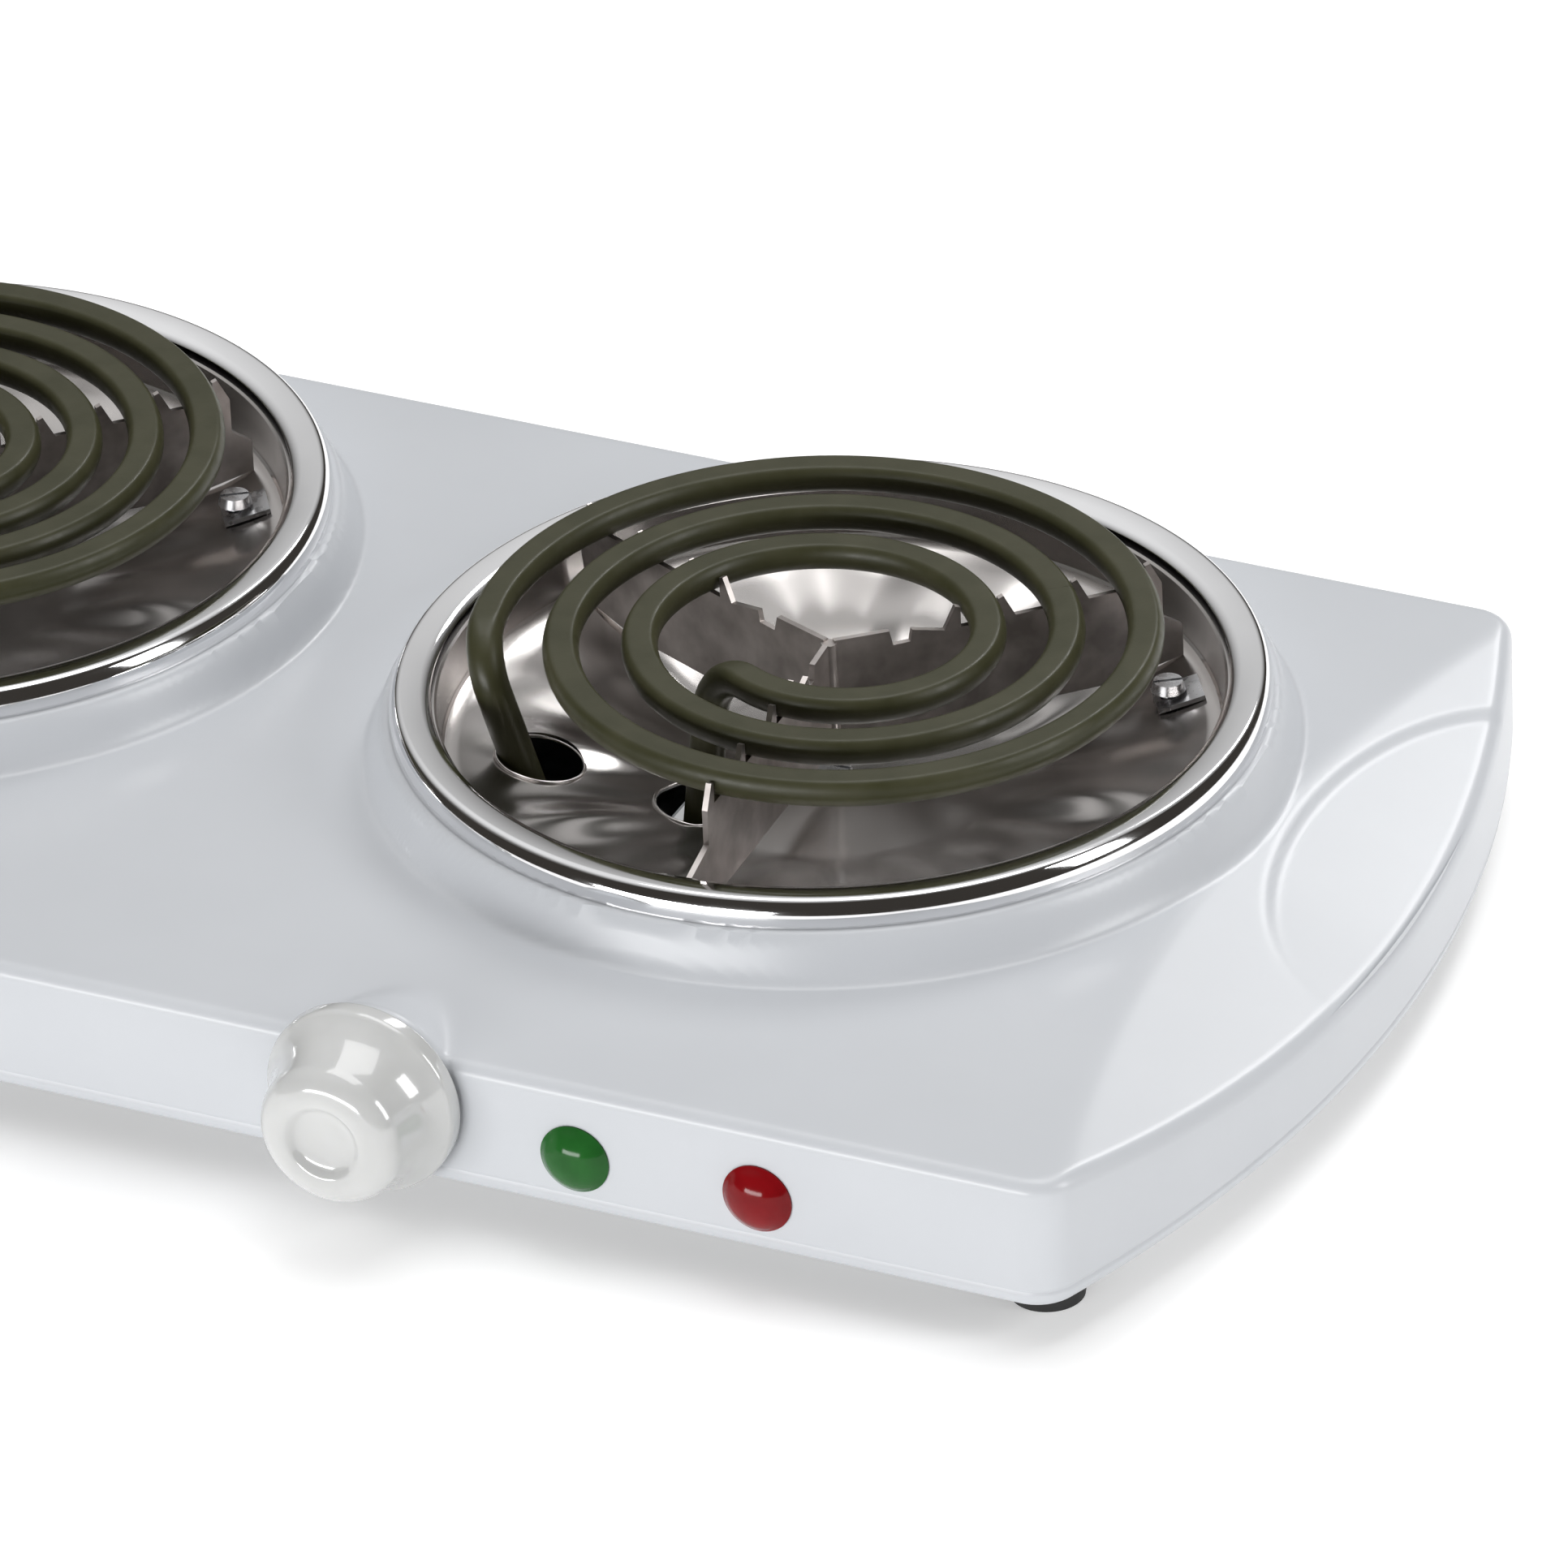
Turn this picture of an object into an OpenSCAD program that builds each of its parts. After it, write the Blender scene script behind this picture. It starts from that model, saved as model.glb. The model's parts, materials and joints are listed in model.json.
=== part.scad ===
// Twin hot plate burner: one pressed housing, two spiral elements over drip bowls,
// two rotary thermostats with knobs, and two indicator lamps. Millimetres, +Z up,
// +X to the right, -Y to the front. The origin is under the middle of the whole part.

/* [Body] */
// Length of the housing, from bowed end to bowed end
body_l = 478; // [470:1:500]
// Depth of the housing, front wall to rear wall
body_d = 238; // [234:1:250]
// Height of the deck above the table
deck_z = 37.5; // [36:0.5:42]
// Height of the skirt's lower edge above the table
skirt_z = 9; // [8:0.5:10]
// Thickness of the housing sheet
sheet = 1; // [0.8:0.1:1.2]
// How far each end bows out at the middle of its depth
end_bow = 19.5; // [14:0.5:22]
// Radius of the upright corners
corner_r = 10; // [8:1:14]
// Radius of the rounded edge between deck and wall
edge_r = 4; // [3:0.5:6]
// Drop of the scooped end from the crease to its outer edge
scoop_drop = 8.5; // [6:0.5:10]

/* [Burners] */
// Distance between the two burner centres
burner_gap = 213; // [208:1:222]
// Distance from a burner centre to the rear wall
burner_back = 98; // [96:1:104]
// Height of the raised collar above the deck
collar_h = 10; // [8:0.5:11]
// Outer radius of the chrome trim ring
ring_r = 90; // [88:0.5:91]
// Height of the trim ring above the collar
ring_h = 6; // [5:0.5:7]
// Inner radius of the drip bowl's upright wall
bowl_r = 79.6; // [78:0.2:80]
// Depth of the bowl floor below the collar top
bowl_depth = 18; // [16:0.5:18]
// Radius of the flat bowl floor
floor_r = 34; // [30:1:38]

/* [Heating elements] */
// Radius of the element tube
tube_r = 3.75; // [3:0.05:4]
// Height of the tube's flat top above the collar top
coil_top = 17; // [16:0.5:19]
// Radius of the first half turn, at the tube's centre
coil_r = 67.4; // [64:0.2:68]
// Step between half turns of the right element
step_right = 8; // [7.8:0.1:8.2]
// Step between half turns of the left element
step_left = 6.4; // [6.3:0.1:6.5]
// Direction of the line that carries the half turns' centres, in degrees
coil_axis = 26; // [20:1:30]

/* [Controls] */
// Distance of each knob's axis from the middle of the front
knob_x = 69.5; // [64:0.5:74]
// Height of the knob's axis above the table
knob_z = 27.5; // [26:0.5:28]
// Radius of the knob's skirt
knob_r = 20.5; // [19:0.5:21]
// How far the knob's face stands out from the front wall
knob_out = 22; // [20:0.5:25]
// Radius of the control shaft
shaft_r = 3; // [2.5:0.1:3.2]
// Radius of an indicator lens
lens_r = 7.4; // [6:0.1:8]
// Height of the lamps above the table
lamp_z = 21.5; // [20:0.5:23]
// Distance of the green lamp from the middle of the front
green_x = 114; // [110:1:120]
// Distance of the red lamp from the middle of the front
red_x = 153.5; // [148:0.5:160]

/* [Base] */
// Half the distance between left and right feet
foot_x = 206; // [200:1:208]
// Distance of the feet from the front and rear walls
foot_inset = 20; // [18:1:24]
// Radius of a foot where it meets the cover
foot_r = 9; // [7:0.5:9]
// Thickness of the bottom cover
cover_t = 0.8; // [0.6:0.1:1.2]
// Distance that the cord gland stands out behind the rear wall
gland_out = 3; // [2:0.5:5]
// Radius of the cord's way through the gland
gland_bore = 4; // [3:0.25:4.5]

/* [Hidden] */
$fn = 72;
eps = 0.01;
far = 400;

// places
rear_y = (body_d + knob_out - gland_out) / 2;
front_y = rear_y - body_d;
mid_y = (rear_y + front_y) / 2;
burner_y = rear_y - burner_back;
ring_z = deck_z + collar_h;
inside_z = deck_z - sheet;
cover_z = skirt_z + 0.6;
cover_top = cover_z + cover_t;

// plan of the housing: straight front and rear, bowed ends, round corners
bow_w = body_d / 2 - corner_r;
bow_r = (bow_w * bow_w + end_bow * end_bow) / (2 * end_bow);
bow_x = body_l / 2 - bow_r;
function arc(cx, cy, r, a0, a1, n) =
    [for (i = [0:n]) let (a = a0 + (a1 - a0) * i / n) [cx + r * cos(a), cy + r * sin(a)]];
corner_x = bow_x + sqrt(pow(bow_r - corner_r, 2) - pow(body_d / 2 - corner_r, 2));
corner_a = atan2(body_d / 2 - corner_r, corner_x - bow_x);
function right_end(in) = let (cx = corner_x, cy = body_d / 2 - corner_r, a = corner_a)
    concat(arc(cx, -cy, corner_r - in, -90, -a, 6),
           arc(bow_x, 0, bow_r - in, -a + 1, a - 1, 24),
           arc(cx, cy, corner_r - in, a, 90, 6));
function plan_points(in) = let (e = right_end(in)) concat(e, [for (p = e) [-p[0], -p[1]]]);
module plan(in) translate([0, mid_y]) polygon(plan_points(in));

// scooped ends: a wide cone about an upright axis beyond the end
crease_r = 380;
crease_x = body_l / 2 - 39.5 + crease_r;
scoop_w = 39.5;

// collar, ring and bowl sections, in radius and height above the collar top
collar_top_r = ring_r + 1.5;
collar_foot_r = ring_r + 5.2;
opening_r = 84;
ledge_z = -8;
ledge_r = bowl_r - 2.5;
slope_r = ledge_r - floor_r;
bowl_t = 0.6;
function bowl_z(r) = r < floor_r ? -bowl_depth
    : -bowl_depth + (r - floor_r) * (ledge_z + bowl_depth) / slope_r;

// element: half turns about two centres, so each turn runs smoothly into the next
tube_z = coil_top - 2.9;
tube_low = tube_z - tube_r;
bend_r = 11;
leg_r = tube_r - 0.65;
leg_low = 0.4;
leg_in = 1;
pin_l = 5;
leg_lean = 16;
inner_lean = 8;
leg_end = -22.4;
outer_start = 196;
inner_stop = 145;
function turn_r(k, step) = coil_r - k * step;
function turn_c(k, step) = k % 2 == 0 ? -3 : -3 + step;
// where an arm at an angle passes under half turn k
function crossing(a, k, step) = let (c = turn_c(k, step), b = a - coil_axis)
    c * cos(b) + sqrt(pow(turn_r(k, step), 2) - pow(c * sin(b), 2));

// controls
nut_t = 2.2;
bush_r = 5;
thermo_w = 26;
thermo_d = 22;
thermo_rise = 8.2;
thermo_drop = 10;
thermo_y = front_y + sheet + 1.2;
cam_y = thermo_y + thermo_d + 1;
cam_t = 4;
cam_r = 7;

// the two burners and the two controls
side_x = [-1, 1];
module at_burner(s) translate([s * burner_gap / 2, burner_y, ring_z]) children();
// a control's own frame: origin on its axis at the front wall, +Z out of the wall
module at_control(s) translate([s * knob_x, front_y, knob_z]) rotate([90, 0, 0]) children();
module at_lamp(x) translate([x, front_y, lamp_z]) rotate([90, 0, 0]) children();

// a bent sheet seen edge on: the path and the same path moved sideways by t
function unit(v) = v / norm(v);
function side(v) = [-v[1], v[0]];
function seg_n(p, i) = side(unit(p[i + 1] - p[i]));
function moved(p, i, t) = let (n = len(p),
        a = seg_n(p, max(i - 1, 0)), b = seg_n(p, min(i, n - 2)))
    p[i] + t * (a + b) / (1 + a * b);
module strip_section(p, t)
    polygon(concat(p, [for (i = [len(p) - 1:-1:0]) moved(p, i, t)]));

// ---------------------------------------------------------------- housing and base
module scoop(low) for (s = side_x) translate([s * crease_x, mid_y, deck_z - low])
    rotate_extrude($fn = 180) polygon([[0, -scoop_drop], [crease_r - scoop_w, -scoop_drop],
        [crease_r, 0], [crease_r, far], [0, far]]);

// profile of the housing, front to rear, with its two rounded edges
module profile(in) let (w = body_d / 2 - in, r = edge_r - in, low = in > 0 ? 1 : 0)
    polygon(concat([[-w, skirt_z - low], [w, skirt_z - low]],
        arc(w - r, deck_z - in - r, r, 0, 90, 6), arc(r - w, deck_z - in - r, r, 90, 180, 6)));

module body_form(in) difference() {
    intersection() {
        translate([0, 0, skirt_z - 5]) linear_extrude(deck_z) plan(in);
        translate([-body_l / 2, mid_y, 0]) rotate([90, 0, 90]) linear_extrude(body_l) profile(in);
    }
    scoop(in);
}

module collar_form(in) for (s = side_x) at_burner(s)
    translate([0, 0, -collar_h - 2]) cylinder(collar_h + 2 - in,
        r1 = collar_foot_r + 2 * (collar_foot_r - collar_top_r) / collar_h - in,
        r2 = collar_top_r - in, $fn = 120);

// a sloping half barrel on the deck behind each knob
module pod_form(in) intersection() {
    for (s = side_x) translate([s * knob_x, front_y, knob_z]) rotate([-76, 0, 0])
        translate([0, 0, -20]) cylinder(60, r = knob_r - 1.5 - in);
    translate([-far, front_y + in, skirt_z + 4]) cube([2 * far, 60, 60]);
}

module boss(x, y) translate([x, y, cover_top]) cylinder(inside_z - cover_top + 0.5, r = 3.5);

foot_places = [[-1, front_y + foot_inset], [1, front_y + foot_inset],
               [-1, rear_y - foot_inset], [1, rear_y - foot_inset]];
cover_screw_y = [front_y + 8, rear_y - 8];

module housing() color("whitesmoke") difference() {
    union() {
        difference() {
            union() {
                body_form(0);
                collar_form(0);
                pod_form(0);
            }
            body_form(sheet);
            collar_form(sheet);
            pod_form(sheet);
            for (s = side_x) at_burner(s) cylinder(40, r = opening_r, center = true);
        }
        for (p = foot_places) boss(p[0] * foot_x, p[1]);
        for (y = cover_screw_y) boss(0, y);
    }
    for (s = side_x) at_control(s) cylinder(8, r = bush_r + 0.2, center = true);
    for (x = [green_x, red_x]) at_lamp(x) cylinder(8, r = lens_r - 1.8, center = true);
    translate([gland_x, rear_y, gland_z]) rotate([90, 0, 0])
        cylinder(12, r = gland_bore + 2, center = true);
    for (p = foot_places) translate([p[0] * foot_x, p[1], 0]) cylinder(22, r = 1.6);
    for (y = cover_screw_y) translate([0, y, 0]) cylinder(22, r = 1.6);
}

vent_l = 40;
vent_w = 4;
vent_pitch = 12;
screw_hole_r = 1.9;
module bottom_cover() color("silver") difference() {
    translate([0, 0, cover_z]) linear_extrude(cover_t) plan(sheet + 0.4);
    for (p = foot_places) translate([p[0] * foot_x, p[1], 0]) cylinder(22, r = screw_hole_r);
    for (y = cover_screw_y) translate([0, y, 0]) cylinder(22, r = screw_hole_r);
    for (s = side_x, i = [-3:3])
        translate([s * burner_gap / 2 + i * vent_pitch - vent_w / 2, burner_y - vent_l / 2, 0])
            cube([vent_w, vent_l, 22]);
    translate([earth_x, earth_y, 0]) cylinder(22, r = screw_hole_r + 0.2);
}

// a foot, with a counterbore for its screw's head
foot_screw_z = 4;
module foot(i) color("dimgray")
    translate([foot_places[i][0] * foot_x, foot_places[i][1], 0]) difference() {
        cylinder(cover_z, r1 = foot_r - 1.5, r2 = foot_r);
        translate([0, 0, -1]) cylinder(foot_screw_z + 1.05, r = 4.5);
        translate([0, 0, -1]) cylinder(20, r = screw_hole_r);
    }

// pan-head screw, head down, with its head's upper face at z = 0
module screw_up(head_r, shank_r, length) difference() {
    union() {
        translate([0, 0, -2]) cylinder(2, r1 = head_r - 0.6, r2 = head_r);
        translate([0, 0, -eps]) cylinder(length, r = shank_r);
    }
    translate([-head_r, -0.4, -2 - eps]) cube([2 * head_r, 0.8, 0.9]);
}

module foot_screws() color("silver") for (p = foot_places)
    translate([p[0] * foot_x, p[1], foot_screw_z]) screw_up(3.6, 1.5, 16);

module cover_screws() color("silver") for (y = cover_screw_y)
    translate([0, y, cover_z]) screw_up(3.2, 1.5, 10);

// ---------------------------------------------------------------- burner
module trim_ring(s) color("silver") at_burner(s) rotate_extrude($fn = 180)
    strip_section(concat([[ring_r, 0.05]], arc(ring_r - 3.2, ring_h - 3.2, 3.2, 0, 95, 8),
        [[ring_r - 8.6, ring_h - 1.2], [ring_r - 8.7, ring_h - 1.9]]), 0.6);

hole_outer = [-54, -25.5];
hole_inner = [-21, -20.5];
hole_r = 9;

module drip_bowl(s) color("lightgray") at_burner(s) difference() {
    rotate_extrude($fn = 180) strip_section([
        [0, -bowl_depth], [floor_r, -bowl_depth], [ledge_r, ledge_z], [bowl_r, ledge_z],
        [bowl_r + 0.6, 2.8], [ring_r - 3.6, 2.8], [ring_r - 3.2, 0.1]], -bowl_t);
    translate([hole_outer[0], hole_outer[1], -30]) cylinder(30, r = hole_r);
    translate([hole_inner[0], hole_inner[1], -30]) cylinder(30, r = hole_r);
    translate([0, 0, -30]) cylinder(30, r = 2.3);
    rotate(34) translate([69.5, 0, -30]) cylinder(30, r = 1.8);
}

strap_z = -bowl_depth - bowl_t - 0.05;
strap_t = 1.2;
strap_run = 99;
module burner_strap(s) color("gainsboro") at_burner(s) rotate(-45) difference() {
    union() {
        translate([-strap_run, -8, strap_z - strap_t]) cube([2 * strap_run, 16, strap_t]);
        for (m = [0, 1]) mirror([m, 0, 0]) {
            translate([strap_run - strap_t, -8, strap_z - strap_t])
                cube([strap_t, 16, -collar_h - sheet - strap_z + strap_t - 0.05]);
            translate([strap_run - strap_t, -8, -collar_h - sheet - strap_t - 0.05])
                cube([9, 16, strap_t]);
        }
        translate([0, 0, strap_z - 5]) cylinder(5 - strap_t / 2, r = 4);
    }
    translate([0, 0, strap_z - 8]) cylinder(12, r = 1.9);
}

// pan-head screw, head up, with its head's lower face at z = 0
module screw_down(head_r, shank_r, length) mirror([0, 0, 1]) screw_up(head_r, shank_r, length);

module bowl_centre_screws() color("silver") for (s = side_x)
    at_burner(s) translate([0, 0, -bowl_depth + 0.05]) screw_down(4, 1.8, 5.4);

module tube_section() intersection() {
    circle(tube_r, $fn = 48);
    translate([-5, -5]) square([10, 5 + coil_top - tube_z]);
}

module half_turn(k, step, a0, a1) translate([turn_c(k, step), 0, tube_z]) rotate(a0)
    rotate_extrude(angle = a1 - a0, $fn = 120) translate([turn_r(k, step), 0]) tube_section();

// a quarter bend from level to straight down, then the leg; it starts just inside the tube's
// end, which lies at the origin, heads along +Y, and leans by an angle towards -X
module leg(lean, drop) translate([0, -leg_in, 0]) rotate([0, lean, 0]) {
    translate([0, 0, -bend_r]) rotate([90, 0, 90]) rotate_extrude(angle = 90)
        translate([bend_r, 0]) circle(leg_r);
    translate([0, bend_r, -bend_r - drop]) cylinder(drop, r = leg_r);
}

function outer_drop() = (tube_z - leg_low - bend_r * cos(leg_lean) - leg_end) / cos(leg_lean);
function inner_drop() = (tube_z - leg_low - bend_r * cos(inner_lean) - leg_end) / cos(inner_lean);
module at_outer_leg(step) rotate(coil_axis) translate([turn_c(0, step), 0, tube_z - leg_low])
    rotate(outer_start - coil_axis) translate([coil_r, 0, 0]) children();
module at_inner_leg(last, step) rotate(coil_axis)
    translate([turn_c(last, step), 0, tube_z - leg_low]) rotate(-inner_stop)
    translate([turn_r(last, step), 0, 0]) rotate(180) children();

// last is the number of the half turn that ends the spiral; it lies at the front
module coil(s, last, step) color("darkolivegreen") at_burner(s) {
    rotate(coil_axis) {
        half_turn(0, step, 0, outer_start - coil_axis);
        for (k = [1:last - 1]) half_turn(k, step, k % 2 == 0 ? 0 : 180, k % 2 == 0 ? 180 : 360);
        translate([turn_c(last, step), 0, tube_z]) mirror([0, 1, 0])
            rotate_extrude(angle = inner_stop, $fn = 120)
                translate([turn_r(last, step), 0]) tube_section();
    }
    at_outer_leg(step) leg(leg_lean, outer_drop());
    at_inner_leg(last, step) leg(inner_lean, inner_drop());
}

// pieces on the two leg ends: each child is drawn at the foot of a leg, along -Z
module on_leg_ends(last, step) {
    at_outer_leg(step) translate([0, -leg_in, 0]) rotate([0, leg_lean, 0])
        translate([0, bend_r, -bend_r - outer_drop()]) children();
    at_inner_leg(last, step) translate([0, -leg_in, 0]) rotate([0, inner_lean, 0])
        translate([0, bend_r, -bend_r - inner_drop()]) children();
}

module coil_bushes(s, last, step) color("ivory") at_burner(s) on_leg_ends(last, step)
    translate([0, 0, -3.05]) difference() {
        cylinder(3, r = tube_r + 0.4);
        translate([0, 0, -1]) cylinder(5, r = 1.55);
    }

module coil_pins(s, last, step) color("silver") at_burner(s) on_leg_ends(last, step)
    translate([0, 0, -pin_l]) cylinder(pin_l - 0.05, r = 1.5);

// support: upright sheet arms that carry the tube and keep its turns apart with hooks
arm_t = 1.2;
arm_top = tube_low - 0.15;
arm_low = -11;
arm_end = 76.6;
hook_w = 3.6;
hook_tip = 1.1;
hook_h = 5;
tube_gap = 0.4;
strip_angles = [156, 45];
leg_angle = -88;
hub_r = 1.6;
hub_rise = 3.2;

// outline of a hook at radius r, from its foot to its upright side beside the tube
function hook(r, way) = [[r + way * hook_w, arm_top], [r + way * hook_tip, arm_top + hook_h],
                         [r, arm_top + hook_h - 0.4], [r, arm_top]];
function reversed(p) = [for (i = [len(p) - 1:-1:0]) p[i]];

// an arm from radius r0 at angle a, with a hook outside each half turn in ks and one inside
// the last; a notch lies between that hook and the hub
module arm(a, r0, ks, step) rotate(a) rotate([90, 0, 0]) translate([0, 0, -arm_t / 2])
    linear_extrude(arm_t)
        let (beside = tube_r + tube_gap, inner = crossing(a, ks[len(ks) - 1], step) - beside,
            foot = inner - hook_w, top_r = crossing(a, ks[0], step) + beside + hook_w)
        polygon(concat(
            [[r0, arm_low], [arm_end - 14.6, arm_low], [arm_end, bowl_z(arm_end) + 0.2],
             [arm_end, arm_top - 11], [top_r, arm_top - 8]],
            [for (k = ks) each hook(crossing(a, k, step) + beside, 1)],
            reversed(hook(inner, -1)),
            [[0.72 * foot, arm_top + 1.8], [0.7 * foot, arm_top - 0.8], [0.55 * foot, arm_top - 0.8],
             [0.52 * foot, arm_top + 2.6], [r0, arm_top + hub_rise]]));

module support_strip(s, last, step) color("dimgray") at_burner(s) {
    for (a = strip_angles) arm(a, hub_r - 0.6, [for (k = [0:2:last]) k], step);
    translate([0, 0, arm_low + 0.5]) cylinder(arm_top + hub_rise - arm_low - 1, r = hub_r);
}

module support_leg(s, last, step) color("dimgray") at_burner(s)
    arm(leg_angle, hub_r + 0.2, [for (k = [1:2:last]) k], step);

clip_a = 34;
clip_r = 69.5;
module bowl_clip(s) color("silver") at_burner(s) rotate(clip_a) translate([clip_r, 0, 0])
    difference() {
        rotate([0, -atan2(ledge_z + bowl_depth, slope_r), 0])
            translate([-5, -4.5, bowl_z(clip_r) + 0.35]) cube([10, 9, 1]);
        translate([0, 0, -30]) cylinder(60, r = 1.8);
    }

module bowl_clip_screws() color("silver") for (s = side_x)
    at_burner(s) rotate(clip_a) translate([clip_r, 0, bowl_z(clip_r) + 2.6])
        screw_down(3.6, 1.4, 7);

// ---------------------------------------------------------------- controls
module thermostat(s) color("antiquewhite") at_control(s) difference() {
    union() {
        translate([-thermo_w / 2, -thermo_drop, front_y - thermo_y - thermo_d])
            cube([thermo_w, thermo_drop + thermo_rise, thermo_d]);
        translate([0, 0, front_y - thermo_y - 1]) cylinder(thermo_y - front_y + 1 + 3.5, r = bush_r);
    }
    translate([0, 0, -40]) cylinder(60, r = shaft_r + 0.05);
}

module thermostat_bracket(s) color("silver") at_control(s) difference() {
    translate([-18, -8, -sheet - 1.15]) cube([36, 13.5, 1.1]);
    cylinder(20, r = bush_r + 0.15, center = true);
}

module thermostat_nuts() color("silver") for (s = side_x) at_control(s)
    translate([0, 0, 0.05]) difference() {
        cylinder(nut_t, r = 7.5, $fn = 6);
        translate([0, 0, -1]) cylinder(9, r = bush_r + 0.05);
    }

module thermostat_blades(s) color("goldenrod") at_control(s)
    for (m = [0, 1]) mirror([m, 0, 0])
        translate([cam_r + 1.6, -3, front_y - thermo_y - thermo_d - 9]) cube([0.6, 6, 8.95]);

module control_shaft(s) color("silver") at_control(s) difference() {
    translate([0, 0, front_y - cam_y - cam_t - 1])
        cylinder(knob_out - 6 + cam_y - front_y + cam_t + 1, r = shaft_r);
    translate([-5, shaft_r - 1, 6]) cube([10, 5, 30]);
}

module switch_cam(s) color("saddlebrown") at_control(s) difference() {
    translate([0, 0, front_y - cam_y - cam_t]) union() {
        cylinder(cam_t, r = cam_r - 1);
        translate([0.8, 0, 0]) cylinder(cam_t, r = cam_r - 1);
    }
    translate([0, 0, -60]) cylinder(80, r = shaft_r + 0.01);
}

// leaf spring in a pocket of the knob, pressing on the shaft's flat
spring_y = shaft_r - 0.95;
spring_z = 7;
spring_t = 0.5;
spring_l = 6;
knob_wall = 2;
face_r = knob_r - 5.3;
face_edge_r = 5.6;
module knob(s) color("ivory") at_control(s) difference() {
    union() {
        rotate_extrude($fn = 120) polygon(concat([[0, knob_out - 2], [0, knob_out - 5],
            [face_r - knob_wall, knob_out - 5], [knob_r - knob_wall - 1, 6],
            [knob_r - knob_wall, 1.2], [knob_r, 1.2], [knob_r, 4.5], [knob_r - 1.6, 7.2],
            [face_r + 2.4, 8.6], [face_r + 1.2, 12], [face_r + 0.5, 15]],
            arc(face_r + 0.2 - face_edge_r, knob_out - face_edge_r, face_edge_r, 6, 88, 6),
            [[8.6, knob_out], [7.4, knob_out - 0.8], [5.6, knob_out - 1.8]]));
        translate([0, 0, 6]) cylinder(knob_out - 10, r = 5.6);
    }
    difference() {
        cylinder(knob_out - 5.9, r = shaft_r + 0.02);
        translate([-5, shaft_r - 0.98, 5]) cube([10, 5, 30]);
    }
    translate([-2.05, spring_y - 0.04, spring_z - 0.05]) cube([4.1, spring_t + 0.09, spring_l + 0.1]);
}

module knob_spring(s) color("silver") at_control(s) translate([-2, spring_y, spring_z])
    cube([4, spring_t, spring_l]);

module lamp_lens(x, tint) color(tint) at_lamp(x) difference() {
    union() {
        intersection() {
            translate([0, 0, 4 - 9]) sphere(9);
            translate([0, 0, 0.05]) cylinder(10, r = lens_r);
        }
        translate([0, 0, -3]) cylinder(4, r = lens_r - 1.9);
    }
    translate([0, 0, -4]) cylinder(5, r = 3.6);
}

module lamp_body(x) color("white") at_lamp(x) difference() {
    translate([0, 0, -16]) union() {
        cylinder(12.9, r = lens_r - 1);
        translate([-2.5, 0, -5]) cylinder(6, r = 0.5);
        translate([2.5, 0, -5]) cylinder(6, r = 0.5);
    }
    translate([0, 0, -13]) cylinder(12, r = 3.2);
}

// ---------------------------------------------------------------- wiring
block_w = 36;
block_x = -20;
block_y = rear_y - 42;
module terminal_block() color("ivory") difference() {
    translate([block_x, block_y, cover_top + 0.05]) cube([block_w, 16, 12]);
    for (i = [0:2]) translate([block_x + 6 + i * 12, block_y, cover_top]) {
        translate([0, 6, 5]) rotate([-90, 0, 0]) cylinder(20, r = 1.6);
        translate([0, 10, 4]) cylinder(20, r = 1.8);
    }
}

// insulated wires, all laid in one level just under the pins
wire_t = 1.8;
wire_z = 18;
module wire(p, tint) color(tint) translate([0, 0, wire_z]) linear_extrude(wire_t)
    polygon(concat([for (i = [0:len(p) - 1]) moved(p, i, wire_t / 2)],
                   [for (i = [len(p) - 1:-1:0]) moved(p, i, -wire_t / 2)]));

// the foot of a leg's pin in plan: a is where the leg starts on its half turn, c that half
// turn's centre, r its radius, turn the way it heads, and z the distance down to its foot
function pin_foot(s, a, c, r, turn, lean, z)
    = [s * burner_gap / 2 + c * cos(coil_axis) + r * cos(a)
         - z * sin(lean) * cos(a + turn) - (bend_r - leg_in) * sin(a + turn),
       burner_y + c * sin(coil_axis) + r * sin(a)
         - z * sin(lean) * sin(a + turn) + (bend_r - leg_in) * cos(a + turn)];
function outer_pin(s, step) = pin_foot(s, outer_start, turn_c(0, step), coil_r, 0,
    leg_lean, bend_r + outer_drop() + pin_l);
function inner_pin(s, last, step) = pin_foot(s, coil_axis - inner_stop,
    turn_c(last, step), turn_r(last, step), 180, inner_lean, bend_r + inner_drop() + pin_l);

thermo_back = thermo_y + thermo_d + 0.05;
thermo_lug = 11;
block_gap = 0.05;

module wire_supply(s) let (x = s * 4 - 2, lug = s * (knob_x - thermo_lug))
    wire([[x, block_y - block_gap], [x, -20], [s * 40, -52], [lug, -70], [lug, thermo_back]],
        s > 0 ? "black" : "saddlebrown");

module wire_switched(s, step) let (lug = s * (knob_x + thermo_lug))
    wire([outer_pin(s, step), [lug, -70], [lug, thermo_back]], "firebrick");

module wire_return(s, last, step) let (x = s * 15 - 2)
    wire([inner_pin(s, last, step), [x, 60], [x, block_y - block_gap]], "white");

earth_x = 40;
earth_y = rear_y - 36;
earth_r = 4;
module earth_wire() color("green")
    translate([block_x + block_w + block_gap, earth_y - wire_t / 2, cover_top + 2])
        cube([earth_x - earth_r - block_x - block_w - 2 * block_gap, wire_t, wire_t]);

module earth_screw() color("goldenrod") translate([earth_x, earth_y, cover_top + 0.05]) {
    cylinder(5, r = earth_r);
    translate([0, 0, -cover_t - 1]) cylinder(4, r = 1.9);
}

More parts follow.
